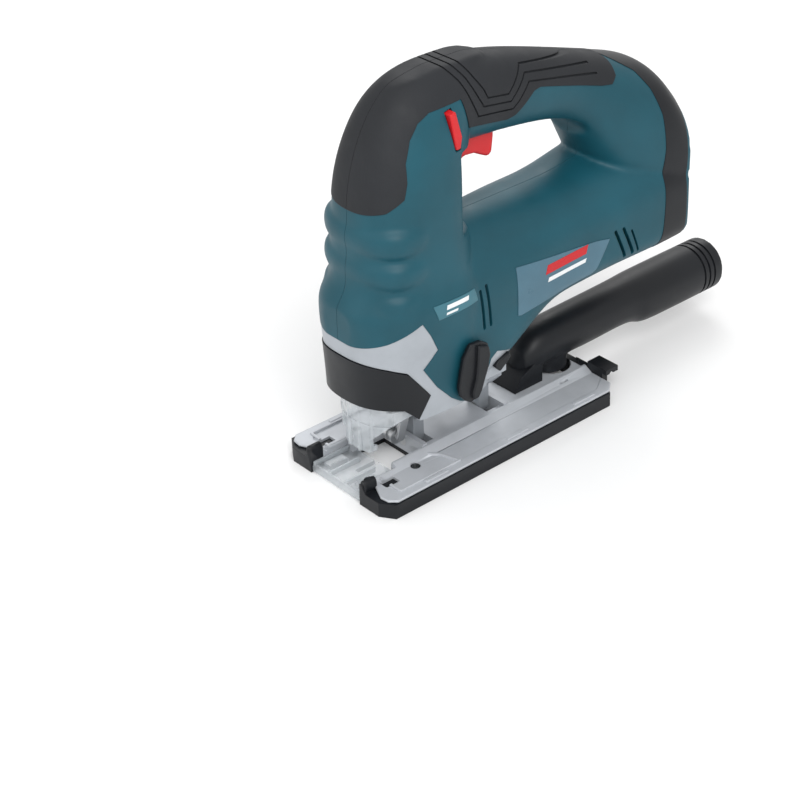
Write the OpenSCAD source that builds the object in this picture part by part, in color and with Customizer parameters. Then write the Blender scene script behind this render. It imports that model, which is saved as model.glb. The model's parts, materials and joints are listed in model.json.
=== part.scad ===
// Cordless jigsaw with a closed handle.
// Origin: where the blade axis meets the plane under the sole. +X to the rear, +Y to the right, +Z up.

/* [Overall] */
// Height of the handle above the work surface
top_z = 210; // [206:1:218]
// Distance from the blade axis to the battery dock's rear face
rear_x = 187; // [180:1:200]
// Width of the motor housing
body_w = 66; // [64:1:72]
// Wall of the plastic housing
wall = 2.6; // [2:0.1:3.2]

/* [Sole] */
// Length of the sole
sole_l = 160; // [150:1:192]
// Width of the sole over its shoe
sole_w = 82; // [76:1:98]
// Height of the ridge beside the blade channel
ridge_h = 12; // [11:0.5:12]
// Height of the shoe's side wall
shoe_h = 8; // [6:0.5:8]

/* [Blade drive] */
// Stroke of the plunger
stroke = 26; // [20:1:26]
// Radius of the plunger rod
rod_r = 4.5; // [3.5:0.1:5]
// Radius of the guide roller
roller_r = 4.3; // [3.6:0.1:4.3]
// Teeth of the motor pinion
pinion_teeth = 8; // [7:1:8]
// Teeth of the crank gear
gear_teeth = 46; // [44:1:46]
// Tooth module
tooth_m = 0.8; // [0.75:0.01:0.8]
// Height of the motor axis
motor_z = 102; // [101:0.5:102]

/* [Dust spout] */
// Inner radius of the hose socket
spout_bore_r = 12.5; // [11:0.1:14]
// Wall of the spout
spout_wall = 2.5; // [2:0.1:3]
// Distance from the blade axis to the spout's open end
spout_end_x = 243; // [220:1:260]

/* [Hidden] */
$fn = 64;
ring_n = 22;
slice_t = 1;
far = 400;
run_gap = 0.05;
move_gap = 0.4;

half_w = body_w / 2;
sole_x0 = -30;
sole_x1 = sole_x0 + sole_l;
sole_hw = sole_w / 2;
shoe_wall = 3.2;
plate_hw = sole_hw - shoe_wall;
plate_z0 = 2.5;
bevel_z = 8;
channel_hw = 15.5;
blade_gap_hw = 15;
front_gap_hw = 19;
pivot_gap_hw = 11.5;
ear_x0 = 14.5;
ear_t = 3;
carrier_x0 = ear_x0 + ear_t + 0.5;
carrier_l = 52;
carrier_x1 = carrier_x0 + carrier_l;
rear_ear_x0 = carrier_x1 + 0.5;
tilt_pin_r = 2.5;
lug_r = 4.5;

head_x = 8;
head_r = 30;
gear_z = motor_z - tooth_m * (pinion_teeth + gear_teeth) / 2;
crank_r = stroke / 2;
crank_pin_r = 3;
yoke_h = 9.5;
bush_h = 5.5;
bush_r = 7;
clamp_h = 10.5;
clamp_r = 6;
bush_top = gear_z - crank_r - yoke_h / 2 - move_gap;
clamp_top = bush_top - bush_h - crank_r - move_gap;
clamp_bottom = clamp_top - clamp_h;
roller_x = roller_r + 4;
roller_z = clamp_bottom - crank_r - move_gap - roller_r;
rocker_x = 18;
rocker_z = 48;
chamber_x = 14.6;
yoke_x1 = 6.8;
gear_x0 = 19;
gear_w = 7;
upper_bush_z = gear_z + crank_r + yoke_h / 2 + move_gap;
upper_bush_h = 7;
shaft_r = 3;
axle_r = 4;
case_x1 = 60;
case_hw = 27.4;
bearing_r = 9.5;
stator_x0 = 76;
stator_l = 44;
stator_r = 20;

band_z0 = 57;
band_z1 = 71.6;
band_r = 31;
band_t = 1.8;
lower_case_r = band_r - band_t - 0.7;
band_pivot = [0, 77];
guard_r = 26;
guard_t = 1.8;
guard_z0 = 18;
lever_pivot = [36, 66];
lever_y = half_w + 0.5;
dial_pos = [rear_x - 9.5, 161];
dial_r = 7.5;
dock_x = 171;
rim_t = 3;

hand_front = 35;
hand_rear = 121;
hand_z = 126;
underside_z = 71;
tongue = [65, 40];

teal = [0.17, 0.35, 0.4];
black = [0.16, 0.17, 0.18];
rubber = [0.22, 0.22, 0.24];
silver = [0.7, 0.72, 0.74];
steel = [0.6, 0.61, 0.63];
red = [0.82, 0.16, 0.18];
clear = [0.85, 0.88, 0.9, 0.4];
copper = [0.72, 0.42, 0.22];

// ---- curves and lofts ----

function signed_pow(v, e) = sign(v) * pow(abs(v), e);
// A rounded ring, whose lower half can be squarer than its upper half
function oval(cx, cy, rx, ry, n, low_n) = [for (i = [0 : ring_n - 1])
    let (a = 360 * i / ring_n, e = 2 / (sin(a) < 0 ? low_n : n))
    [cx + rx * signed_pow(cos(a), e), cy + ry * signed_pow(sin(a), e)]];
function arc(cx, cy, rx, ry, a0, a1, steps = 8) =
    [for (i = [0 : steps]) let (a = a0 + (a1 - a0) * i / steps) [cx + rx * cos(a), cy + ry * sin(a)]];

// Slices are [place, low, high, half width, squareness, squareness of the lower half]
module slice_z(s, inset) translate([0, 0, s[0]]) linear_extrude(slice_t)
    polygon(oval((s[1] + s[2]) / 2, 0, (s[2] - s[1]) / 2 - inset, s[3] - inset, s[4], s[4]));
module slice_x(s, inset) translate([s[0], 0, 0]) rotate([90, 0, 90]) linear_extrude(slice_t)
    polygon(oval(0, (s[1] + s[2]) / 2, s[3] - inset, (s[2] - s[1]) / 2 - inset, s[4], s[5]));
module loft_z(slices, inset) for (i = [0 : len(slices) - 2]) hull() {
    slice_z(slices[i], inset);
    slice_z(slices[i + 1], inset);
}
module loft_x(slices, inset) for (i = [0 : len(slices) - 2]) hull() {
    slice_x(slices[i], inset);
    slice_x(slices[i + 1], inset);
}
// A side outline in X and Z, pushed through in Y
module side_cut(y0 = -far / 2, y1 = far / 2) translate([0, y1, 0]) rotate([90, 0, 0])
    linear_extrude(y1 - y0) children();
module slab(x0, x1, y0, y1, z0, z1) translate([x0, y0, z0]) cube([x1 - x0, y1 - y0, z1 - z0]);
module rod_x(x0, x1, r, y = 0, z = 0) translate([x0, y, z]) rotate([0, 90, 0]) cylinder(h = x1 - x0, r = r);
module rod_y(y0, y1, r, x, z) translate([x, y1, z]) rotate([90, 0, 0]) cylinder(h = y1 - y0, r = r);
module tube_x(x0, x1, r, bore, y = 0, z = 0) difference() {
    rod_x(x0, x1, r, y, z);
    rod_x(x0 - 1, x1 + 1, bore, y, z);
}
module left() intersection() { children(); slab(-far, far, -far, 0, -far, far); }
module right() intersection() { children(); slab(-far, far, 0, far, -far, far); }

// ---- the plastic body's shape ----

handle_slope = 0.33;
handle_bend = 25;
handle_top_x = 45;
function handle_top(x) = top_z - handle_slope * (norm([x - handle_top_x, handle_bend]) - handle_bend);

column = [
    [34, -22.5, 62, half_w - 1, 2.5, 2.5], [101, -22, 58, half_w - 1, 2.5, 2.5], [107, -17.5, 50, half_w - 3.5, 2.4, 2.4],
    [150, -15.5, 48, half_w - 5.5, 2.5, 2.5], [172, -11.5, 50, half_w - 8, 2.4, 2.4],
    [top_z - 16, -3, 54, half_w - 12.5, 2.2, 2.2], [top_z - 1, 16, 66, half_w - 23, 2, 2]];
barrel = [
    [34, 36, hand_z, half_w - 1, 2.1, 4], [60, 44, hand_z, half_w - 1, 2, 4.5],
    [93, underside_z, hand_z, half_w - 1, 2, 5.5], [120, underside_z + 1, hand_z, half_w, 2, 5.5],
    [dock_x, underside_z + 2, hand_z + 8, half_w + 2.5, 2.4, 5.5],
    [rear_x, underside_z + 3, hand_z + 10, half_w + 3, 2.5, 5.5]];
handle = [
    [18, 164, handle_top(18), 21, 2.2, 2.2], [80, 164, handle_top(80), 17, 2.3, 2.3],
    [128, 152, handle_top(128), 18, 2.3, 2.3], [152, 118, handle_top(152), half_w - 6, 2.3, 2.3],
    [dock_x, 90, handle_top(dock_x), half_w + 1.5, 2.4, 2.4], [rear_x, 84, 165, half_w + 2.5, 2.6, 2.6]];

module hand_hole() offset(r = 7) offset(delta = -7)
    polygon(concat([[hand_front, hand_z], [hand_rear, hand_z]],
        arc(hand_rear + 2, hand_z + 19, 12, 19, -90, 0),
        [[hand_rear + 16, 158], [109, 162.5], [70, 167.5], [hand_front + 2, 169]]));

module body_outline() difference() {
    polygon(concat(
        [[-24, 83], [-24, 150]],
        arc(22, 150, 38, handle_top(22) - 150, 180, 96, 10),
        [for (x = [30 : 14 : dock_x]) [x, handle_top(x)]],
        arc(dock_x, handle_top(dock_x) - 24, rear_x - dock_x, 24, 84, 0, 6),
        [[rear_x, underside_z + 8], [rear_x - 4, underside_z + 4]],
        arc(93, tongue[1], 93 - tongue[0] - 1, underside_z - tongue[1], 90, 180, 8),
        [[tongue[0] - 2, tongue[1]], [tongue[0] - 2, 57], [47, 57], [45, 50], [40, 41.5], [33, 39], [26, 41.5],
        [20, 46], [10, 56], [2, 69], [11, 77], [7, 86], [2, 95], [-6, 90.6], [-14, 86.8]]));
    hand_hole();
}
module body_solid(inset = 0) intersection() {
    union() {
        loft_z(column, inset);
        loft_x(barrel, inset);
        loft_x(handle, inset);
    }
    side_cut() offset(delta = -inset) body_outline();
}
// A thin layer on the body's surface inside a side outline
skin_t = 1;
label_t = 0.4;
module skin(depth) difference() {
    intersection() {
        body_solid(-depth);
        side_cut() children();
    }
    body_solid();
}
module grip_outline() polygon([[-40, 150], [-12, 152], [2, 159], [3, 174], [11, 184], [22, 190.5], [40, 191],
    [46, 181], [75, 175.5], [84, 178.5], [93, 184], [134, 173.5], [147, 172], [158, 190], [150, 240], [-40, 240]]);
module label_outline() polygon([[67, 100], [132, 100], [126, 82], [67, 80]]);
module badge_outline() polygon([[12, 101], [38, 101], [38, 93], [12, 93]]);

module vent_cuts() for (side = [-1, 1]) {
    for (x = [43, 48]) translate([x, side * half_w, 87]) rotate([0, 4, 0]) cube([1.6, 16, 22], center = true);
    for (x = [136, 142, 148]) translate([x, side * half_w, 89]) rotate([0, 22, 0])
        cube([1.8, 16, 17], center = true);
}
screws = [[24, 112, 26], [67, 68, 27], [128, 84, 27], [152, 112, 26], [26, 162, 20], [152, 160, 22]];
screw_head_r = 3;
module screw_shapes(extra) for (s = screws) {
    rod_y(s[2] - 14, s[2], 1.5 + extra, s[0], s[1], $fn = 24);
    rod_y(s[2], s[2] + 2.4 + 200 * extra, screw_head_r + extra, s[0], s[1], $fn = 24);
}
trigger_x0 = 48;
trigger_x1 = 69.5;
trigger_hw = 9;
trigger_travel = 6;
lock_hw = 23;
module lock_outline() polygon([[29, 192], [32.5, 193], [36.5, 179], [35.5, 173], [32.5, 173], [30.5, 184]]);
module housing() difference() {
    body_solid();
    body_solid(wall);
    slab(dock_x, far, -far, far, -far, far);
    gearcase_solid();
    vent_cuts();
    // The head is open to the gearcase
    slab(-12, -6, -17, 17, 60, 106);
    slab(-7, 5, -20, 20, 60, 106);
    slab(4, 50, -24, 24, 60, 100);
    // The trigger, lock bar, dial and blower switch pass through the wall
    slab(trigger_x0 - move_gap, trigger_x1 + move_gap, -trigger_hw - move_gap, trigger_hw + move_gap, 150, 176);
    side_cut() offset(delta = move_gap) lock_outline();
    dial_room();
    slab(46, 64, -far, far, 44, 61);
}
module grip_layer() skin(skin_t) grip_outline();
module label_layer() skin(label_t) label_outline();
module badge_layer() skin(label_t) badge_outline();

module housing_left() color(teal) difference() {
    left() housing();
    rod_y(-far, 0, axle_r + 0.6, lever_pivot[0], lever_pivot[1]);
}
module housing_right() color(teal) difference() {
    mirror([0, 1, 0]) left() housing();
    screw_shapes(0.1);
}
module grip_shape() difference() {
    grip_layer();
    side_cut() offset(delta = move_gap) lock_outline();
    screw_shapes(0.1);
}
module grip_left() color(rubber) left() grip_shape();
module grip_right() color(rubber) right() grip_shape();
module label_left() color([0.32, 0.45, 0.52]) left() label_layer();
module label_right() color([0.32, 0.45, 0.52]) right() label_layer();
module badge_left() color([0.4, 0.53, 0.58]) left() badge_layer();
module badge_right() color([0.4, 0.53, 0.58]) right() badge_layer();

// ---- battery dock ----

dock_hw = 29;
dock_z0 = underside_z + 6;
dock_z1 = 146;
rail_t = 3;
dial_hw = 3.5;
module dock_recess() slab(rear_x - 10, far, -dock_hw, dock_hw, dock_z0, dock_z1);
module battery_dock() color(black) difference() {
    union() {
        difference() {
            intersection() {
                body_solid();
                slab(dock_x, rear_x - rim_t, -far, far, -far, far);
            }
            dock_recess();
            // Space for the electronics, open towards the motor
            slab(dock_x - 1, dock_x + 3, -dock_hw, dock_hw, dock_z0, dock_z1);
        }
        for (side = [-1, 1]) slab(rear_x - 6.5, rear_x - 3.5, side > 0 ? dock_hw - 4 : -dock_hw,
            side > 0 ? dock_hw : 4 - dock_hw, dock_z0, dock_z1 - 10);
    }
    dial_room();
}
module dock_rim() color(teal) difference() {
    intersection() {
        body_solid();
        slab(rear_x - rim_t, rear_x, -far, far, -far, far);
    }
    dock_recess();
    dial_room();
}
module dial_room() rod_y(-dial_hw - 0.6, dial_hw + 0.6, dial_r + 0.6, dial_pos[0], dial_pos[1]);
module terminal_block() color(black) difference() {
    slab(rear_x - 10, rear_x - 4, -14, 14, 96, 116);
    for (y = [-10 : 5 : 10]) slab(rear_x - 9, rear_x, y - 1, y + 1, 94, 112);
}
module terminals() color(copper) for (y = [-10 : 5 : 10])
    slab(rear_x - 9, rear_x - 4.6, y - 0.4, y + 0.4, 100, 112);

// ---- electronics and motor ----

module control_board() color([0.1, 0.3, 0.16]) slab(134, 168, -25, 25, 84, 92);
module switch_module() color(black) slab(48, 82, -9, 9, 182, 195);
module stator_core() color(steel) tube_x(stator_x0 + 5, stator_x0 + stator_l - 5, stator_r, 13.2, 0, motor_z);
module stator_coils() color(copper) for (x = [stator_x0, stator_x0 + stator_l - 5])
    tube_x(x, x + 5, stator_r - 2, 14, 0, motor_z);
module front_bearing() color(steel) tube_x(case_x1 - 8, case_x1, bearing_r, shaft_r + run_gap, 0, motor_z);
module rear_bearing() color(steel) tube_x(125, 131, bearing_r, shaft_r + run_gap, 0, motor_z);
module rotor_shaft() color(steel) rod_x(gear_x0 + gear_w + 4, 131, shaft_r, 0, motor_z);
module rotor_core() color([0.35, 0.36, 0.38]) tube_x(stator_x0 + 4, stator_x0 + stator_l - 4, 12.6, shaft_r, 0, motor_z);
module fan() color(black) {
    tube_x(63, 72, 6, shaft_r, 0, motor_z);
    tube_x(70.5, 72, 19, 5.9, 0, motor_z);
    for (i = [0 : 10]) translate([63, 0, motor_z]) rotate([i * 360 / 11, 0, 0]) slab(0, 7.6, -0.7, 0.7, 5.5, 19);
}

// ---- gears ----

pressure = 20;
function roll(r, base_r) = r <= base_r ? 0 : tan(acos(base_r / r)) * 180 / PI - acos(base_r / r);
module gear_shape(teeth, addendum, slack) {
    pitch_r = tooth_m * teeth / 2;
    base_r = pitch_r * cos(pressure);
    tip_r = pitch_r + addendum * tooth_m;
    root_r = pitch_r - 1.2 * tooth_m;
    half = 90 / teeth * (1 - slack) + roll(pitch_r, base_r);
    steps = 4;
    first_r = max(root_r, base_r);
    flank = [for (i = [0 : steps]) let (r = first_r + (tip_r - first_r) * i / steps) [r, half - roll(r, base_r)]];
    polygon([for (t = [0 : teeth - 1]) let (c = 360 * t / teeth) each concat(
        [root_r * [cos(c - half), sin(c - half)]],
        [for (p = flank) p[0] * [cos(c - p[1]), sin(c - p[1])]],
        [for (i = [steps : -1 : 0]) flank[i][0] * [cos(c + flank[i][1]), sin(c + flank[i][1])]],
        [root_r * [cos(c + half), sin(c + half)]])]);
}
tooth_slack = 0.12;
// One tooth of the crank gear points up and meets a gap of the pinion
module pinion() color(steel) translate([gear_x0 - 1, 0, motor_z]) rotate([0, 90, 0])
    rotate([0, 0, 180 / pinion_teeth]) linear_extrude(gear_w + 5) gear_shape(pinion_teeth, 0.9, tooth_slack);
module crank_gear() color(steel) difference() {
    union() {
        translate([gear_x0, 0, gear_z]) rotate([0, 90, 0]) rotate([0, 0, 180])
            linear_extrude(gear_w) gear_shape(gear_teeth, 0.7, tooth_slack);
        rod_x(gear_x0 + gear_w, gear_x0 + gear_w + 4, 8, 0, gear_z);
    }
    rod_x(0, far, axle_r + run_gap, 0, gear_z);
    rod_x(0, far, crank_pin_r, crank_r, gear_z);
}
module crank_pin() color(steel) rod_x(yoke_x1 + move_gap, gear_x0 + gear_w, crank_pin_r, crank_r, gear_z);
module counterweight() color([0.5, 0.5, 0.52]) intersection() {
    rod_x(gear_x0 - 7, gear_x0, crank_r + 3.5, 0, gear_z);
    slab(-far, far, -far, -4, -far, far);
}
module gear_axle() color(steel) rod_x(gear_x0, 52, axle_r, 0, gear_z);

// ---- gearcase ----

module head_plan(r) union() {
    translate([head_x, 0]) circle(r);
    translate([head_x, -r]) square([case_x1 - head_x, 2 * r]);
}
// Below the flanks everything stays above the sole when it is tilted
module bevel_clear() rotate([90, 0, 90]) linear_extrude(far, center = true)
    polygon([[-4, 20], [4, 20], [14, 30], [28, 43.5], [28, 43.6], [40, 43.6], [40, 200], [-40, 200], [-40, 43.6],
        [-28, 43.6], [-28, 43.5], [-14, 30]]);
module gearcase_outline() polygon([[-24, 72.4], [-24, 90], [4, 97], [case_x1, 97],
    [case_x1, 57], [64, 50], [66, 36], [chamber_x, 36], [chamber_x, 41], [-1, 48], [-1, band_z0], [-24, band_z0]]);
module gearcase_solid() intersection() {
    union() {
        difference() {
            translate([0, 0, band_z1 + 1]) linear_extrude(24) head_plan(head_r - 0.7);
            side_cut() body_outline();
        }
        difference() {
            linear_extrude(band_z1 + 1) head_plan(lower_case_r);
            side_cut() body_outline();
        }
        linear_extrude(far) intersection() {
            head_plan(case_hw);
            translate([-15, -case_hw]) square([case_x1 + 15, 2 * case_hw]);
        }
    }
    side_cut() gearcase_outline();
    bevel_clear();
}
rail_z = 36;
module slide_rail() {
    slab(carrier_x0 - 2, carrier_x1 + 2, -8.6, 8.6, rail_z - 4, rail_z);
    slab(carrier_x0 - 2, carrier_x1 + 2, -11.6, 11.6, rail_z - 6.5, rail_z - 3.5);
}
module gearcase() color(silver) difference() {
    union() {
        gearcase_solid();
        rod_x(30, case_x1, bearing_r + 5, 0, motor_z);
        slab(-13, 13, -13, 13, 90, upper_bush_z + upper_bush_h);
        slide_rail();
    }
    // Blade chamber, open to the front and below
    slab(-far, chamber_x, -guard_r - move_gap, guard_r + move_gap, 0, band_z0);
    // Crank chamber
    slab(-10, gear_x0 - 8, -22, 22, bush_top, upper_bush_z);
    slab(gear_x0 - 9, 31, -22, 22, gear_z - 20.4, upper_bush_z);
    slab(gear_x0 - 9, 31, -8, 8, upper_bush_z - 1, far);
    cylinder(h = far, r = rod_r + 0.6);
    translate([0, 0, bush_top - bush_h]) cylinder(h = bush_h + 1, r = bush_r);
    translate([0, 0, upper_bush_z]) cylinder(h = upper_bush_h + 1, r = bush_r);
    // Motor bearing, shaft and gear axle
    rod_x(case_x1 - 8, far, bearing_r, 0, motor_z);
    rod_x(0, far, shaft_r + 2, 0, motor_z);
    rod_x(0, 52, axle_r, 0, gear_z);
    rod_y(-far, 14, axle_r + run_gap, lever_pivot[0], lever_pivot[1]);
    // Pockets for the release band's arms
    for (side = [-1, 1]) intersection() {
        slab(-13, 5, side * (band_arm_y + 1.2) - 1.6, side * (band_arm_y + 1.2) + 1.6, band_z0 - 1, 86);
        slab(-far, far, -far, far, 0, far);
    }
    rocker_room();
    rod_y(-10, 10, 2, rocker_x, rocker_z);
    band_pins();
    for (p = light_places) translate(p) cylinder(h = 5, r = 2.6);
}
light_places = [[-10, 16, band_z0], [-10, -16, band_z0]];
module work_light() color(clear) for (p = light_places) translate(p) cylinder(h = 4.5, r = 2.6);
module lower_bush() color([0.72, 0.58, 0.35]) translate([0, 0, bush_top - bush_h]) difference() {
    cylinder(h = bush_h, r = bush_r);
    translate([0, 0, -1]) cylinder(h = far, r = rod_r + run_gap);
}
module upper_bush() color([0.72, 0.58, 0.35]) translate([0, 0, upper_bush_z]) difference() {
    cylinder(h = upper_bush_h, r = bush_r);
    translate([0, 0, -1]) cylinder(h = far, r = rod_r + run_gap);
}

// ---- plunger and blade clamp ----

module plunger_rod() color(steel) translate([0, 0, clamp_bottom + 5])
    cylinder(h = upper_bush_z + upper_bush_h + crank_r + 2 - clamp_bottom - 5, r = rod_r);
module yoke() color(steel) difference() {
    slab(-rod_r - 2, yoke_x1, -crank_r - 5.5, crank_r + 5.5, gear_z - yoke_h / 2, gear_z + yoke_h / 2);
    translate([0, 0, gear_z]) cylinder(h = 3 * yoke_h, r = rod_r, center = true);
    slab(rod_r + 0.6, far, -crank_r - 3.2, crank_r + 3.2, gear_z - crank_pin_r - 0.15, gear_z + crank_pin_r + 0.15);
}
module blade_clamp() color([0.45, 0.46, 0.48]) difference() {
    union() {
        translate([0, 0, clamp_bottom]) cylinder(h = clamp_h, r = clamp_r);
        rod_y(clamp_r - 1, clamp_r + 3, 1.6, 0, clamp_bottom + clamp_h / 2);
    }
    translate([0, 0, clamp_bottom + 5]) cylinder(h = far, r = rod_r);
    slab(-4, 4, -0.9, 0.9, clamp_bottom - 1, clamp_bottom + 4.5);
}

// ---- guide roller ----

fork_in = 3.6;
fork_t = 1.8;
roller_w = 6.4;
roller_pin_r = 1.5;
module rocker_shape(extra) side_cut(-fork_in - fork_t - extra, fork_in + fork_t + extra) hull() {
    translate([roller_x + 1.6, roller_z]) circle(2.2 + extra);
    translate([rocker_x, rocker_z]) circle(3.4 + extra);
}
module rocker_room() {
    rocker_shape(1.2);
    slab(10, rocker_x, -fork_in - fork_t - 1, fork_in + fork_t + 1, 0, rocker_z);
}
module rocker_fork() color(steel) difference() {
    side_cut(-fork_in - fork_t, fork_in + fork_t) hull() {
        translate([roller_x + 1, roller_z]) circle(2.4);
        translate([rocker_x, rocker_z]) circle(3.4);
    }
    slab(-far, far, -fork_in, fork_in, -far, roller_z + roller_r + 3);
    rod_y(-far, far, 2 + run_gap, rocker_x, rocker_z);
    rod_y(-far, far, roller_pin_r, roller_x, roller_z);
}
module rocker_pin() color(steel) rod_y(-10, 10, 2, rocker_x, rocker_z);
module roller_pin() color(steel) rod_y(-fork_in - fork_t, fork_in + fork_t, roller_pin_r, roller_x, roller_z);
module guide_roller() color(steel) difference() {
    rod_y(-roller_w / 2, roller_w / 2, roller_r, roller_x, roller_z);
    translate([roller_x, 0, roller_z]) rotate([90, 0, 0]) rotate_extrude()
        polygon([[roller_r - 1.2, -0.7], [roller_r + 1, -1.2], [roller_r + 1, 1.2], [roller_r - 1.2, 0.7]]);
    rod_y(-far, far, roller_pin_r + run_gap, roller_x, roller_z);
}

// ---- levers, switches and guard ----

lever_t = 4.5;
module orbit_lever() color(black) side_cut(-lever_y - lever_t, -lever_y)
    polygon(concat(arc(lever_pivot[0], lever_pivot[1], 6.5, 6.5, 10, 175), [[22, 50], [23, 44], [29, 42.5],
        [34, 44], [40, 55]]));
module orbit_shaft() color(steel) rod_y(-lever_y, 12, axle_r, lever_pivot[0], lever_pivot[1]);

band_arm_y = 24.4;
module band_outline() polygon([[-40, 58], [-40, band_z1], [-6, band_z1], [4.4, 56], [-1.5, 44.5], [-8, 49.5], [-16, 56]]);
module release_band() color(black) difference() {
    union() {
        intersection() {
            linear_extrude(far) difference() {
                head_plan(band_r);
                head_plan(band_r - band_t);
            }
            side_cut() band_outline();
        }
        // Inner arms reach up to the pivot inside the gearcase
        for (side = [-1, 1]) {
            intersection() {
                side_cut() hull() {
                    translate(band_pivot) circle(3.5);
                    translate([-5, band_z0 + 2]) square([5, 1]);
                }
                slab(-far, far, side * (band_arm_y + 1) - 1, side * (band_arm_y + 1) + 1, 0, far);
            }
            slab(-8, -1 - move_gap, side > 0 ? band_arm_y : -band_r + 0.5, side > 0 ? band_r - 0.5 : -band_arm_y, 54, 56.4);
        }
    }
    rod_y(-far, far, 1.6 + run_gap, band_pivot[0], band_pivot[1]);
}
module band_pins() color(steel) for (side = [-1, 1])
    rod_y(side * (band_arm_y + 1) - 2.4, side * (band_arm_y + 1) + 2.4, 1.6, band_pivot[0], band_pivot[1]);

module guard_front() rotate([90, 0, 90]) linear_extrude(far, center = true)
    polygon([[-9.5, guard_z0], [9.5, guard_z0], [9.5, 25.5], [26, 42.5], [26, 43.8], [18, 43.8], [18, 100],
        [-18, 100], [-18, 43.8], [-26, 43.8], [-26, 42.5], [-9.5, 25.5]]);
module chip_guard() color(clear) intersection() {
    translate([0, 0, guard_z0]) linear_extrude(band_z0 - 3.4 - guard_z0) difference() {
        translate([head_x, 0]) circle(guard_r);
        translate([head_x, 0]) circle(guard_r - guard_t);
        translate([head_x - 2, -far / 2]) square(far);
    }
    guard_front();
}

module trigger() color(red) union() {
    side_cut(-trigger_hw, trigger_hw) polygon([[trigger_x0, 156.5], [51, 158.6], [58, 158], [62.5, 155.5],
        [67, 153.4], [trigger_x1 - 0.5, 155.5], [trigger_x1, 174], [trigger_x0, 174]]);
    slab(trigger_x0 - 1.5, trigger_x1 + 1.5, -trigger_hw - 1, trigger_hw + 1, 172, 174.6);
}
module lock_bar() color(red) side_cut(-lock_hw, lock_hw) lock_outline();
module speed_dial() color(red) difference() {
    rod_y(-dial_hw, dial_hw, dial_r, dial_pos[0], dial_pos[1]);
    for (i = [0 : 17]) translate([dial_pos[0], 0, dial_pos[1]]) rotate([0, i * 20, 0])
        translate([dial_r + 0.5, 0, 0]) rotate([90, 0, 0]) cylinder(h = far, r = 1, center = true, $fn = 16);
}
module blower_switch() color(black) slab(48.5, 60, -half_w + 1, -lower_case_r - move_gap, 46.5, 56);

// ---- sole ----

module sole_plan(grow) polygon([[sole_x0 + grow, -sole_hw + 13], [sole_x0 + grow + 5, -sole_hw + shoe_wall],
    [sole_x1 - 9, -sole_hw + shoe_wall], [sole_x1, -sole_hw + shoe_wall + 9], [sole_x1, sole_hw - shoe_wall - 9],
    [sole_x1 - 9, sole_hw - shoe_wall], [sole_x0 + grow + 5, sole_hw - shoe_wall], [sole_x0 + grow, sole_hw - 13]]);
cap_l = 8;
channel_x1 = rear_ear_x0 + ear_t;
module plate_gap() {
    slab(sole_x0 - 1, -6, -front_gap_hw, front_gap_hw, -1, far);
    slab(-7, ear_x0, -blade_gap_hw, blade_gap_hw, -1, far);
    // Room for the two lugs; the floor between them stays
    slab(ear_x0 + ear_t, carrier_x0 + 7 + move_gap, -pivot_gap_hw, pivot_gap_hw, -1, far);
    slab(carrier_x1 - 7 - move_gap, rear_ear_x0, -pivot_gap_hw, pivot_gap_hw, -1, far);
    slab(ear_x0 + ear_t, rear_ear_x0, -pivot_gap_hw, pivot_gap_hw, 9.6, far);
}
module base_plate() color(silver) difference() {
    union() {
        difference() {
            intersection() {
                translate([0, 0, plate_z0]) linear_extrude(far) sole_plan(cap_l);
                rotate([90, 0, 90]) linear_extrude(far, center = true) polygon([[-sole_hw, 0], [sole_hw, 0],
                    [sole_hw, shoe_h - 0.5], [plate_hw - 3, shoe_h + 1], [channel_hw + 6, ridge_h - 2.6],
                    [channel_hw + 1.2, ridge_h], [channel_hw, ridge_h], [channel_hw - 0.5, 10], [-channel_hw + 0.5, 10],
                    [-channel_hw, ridge_h], [-channel_hw - 1.2, ridge_h], [-channel_hw - 6, ridge_h - 2.6],
                    [-plate_hw + 3, shoe_h + 1], [-sole_hw, shoe_h - 0.5]]);
            }
            plate_gap();
        }
        for (x = [ear_x0, rear_ear_x0]) slab(x, x + ear_t, -channel_hw, channel_hw, plate_z0, bevel_z + 4.8);
    }
    for (x = [ear_x0, rear_ear_x0]) rod_x(x - 1, x + ear_t + 1, tilt_pin_r, 0, bevel_z);
    for (side = [-1, 1]) {
        slab(-20, -11, side * 25 - 2, side * 25 + 2, plate_z0 + 2, far);
        translate([3, side * 23, -1]) cylinder(h = far, r = 2.6);
        slab(108, 114, side * 19 - 0.6, side * 19 + 0.6, plate_z0 + 4, far);
    }
    translate([spout_x, 0, -1]) cylinder(h = far, r = spout_bore_r - 1.5);
}
module sole_shoe() color(black) difference() {
    union() {
        difference() {
            linear_extrude(shoe_h) polygon([[sole_x0, -sole_hw + 7.6], [sole_x0 + 5, -sole_hw], [sole_x1 - 6, -sole_hw],
                [sole_x1, -sole_hw + 10], [sole_x1, sole_hw - 10], [sole_x1 - 6, sole_hw], [sole_x0 + 5, sole_hw],
                [sole_x0, sole_hw - 7.6]]);
            translate([0, 0, plate_z0]) linear_extrude(far) sole_plan(cap_l);
        }
        for (side = [-1, 1]) intersection() {
            union() {
                slab(sole_x0, sole_x0 + cap_l, -far, far, 0, ridge_h);
                translate([sole_x0 + 4, side * (front_gap_hw + 3.5), 0]) cylinder(h = ridge_h + 2.4, r = 3);
            }
            linear_extrude(far) polygon([[sole_x0, side * front_gap_hw], [sole_x0, side * (sole_hw - 7.6)],
                [sole_x0 + 5, side * sole_hw], [sole_x0 + cap_l, side * sole_hw],
                [sole_x0 + cap_l, side * front_gap_hw]]);
        }
    }
    plate_gap();
    translate([spout_x, 0, -1]) cylinder(h = far, r = spout_bore_r - 1.5);
}
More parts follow.
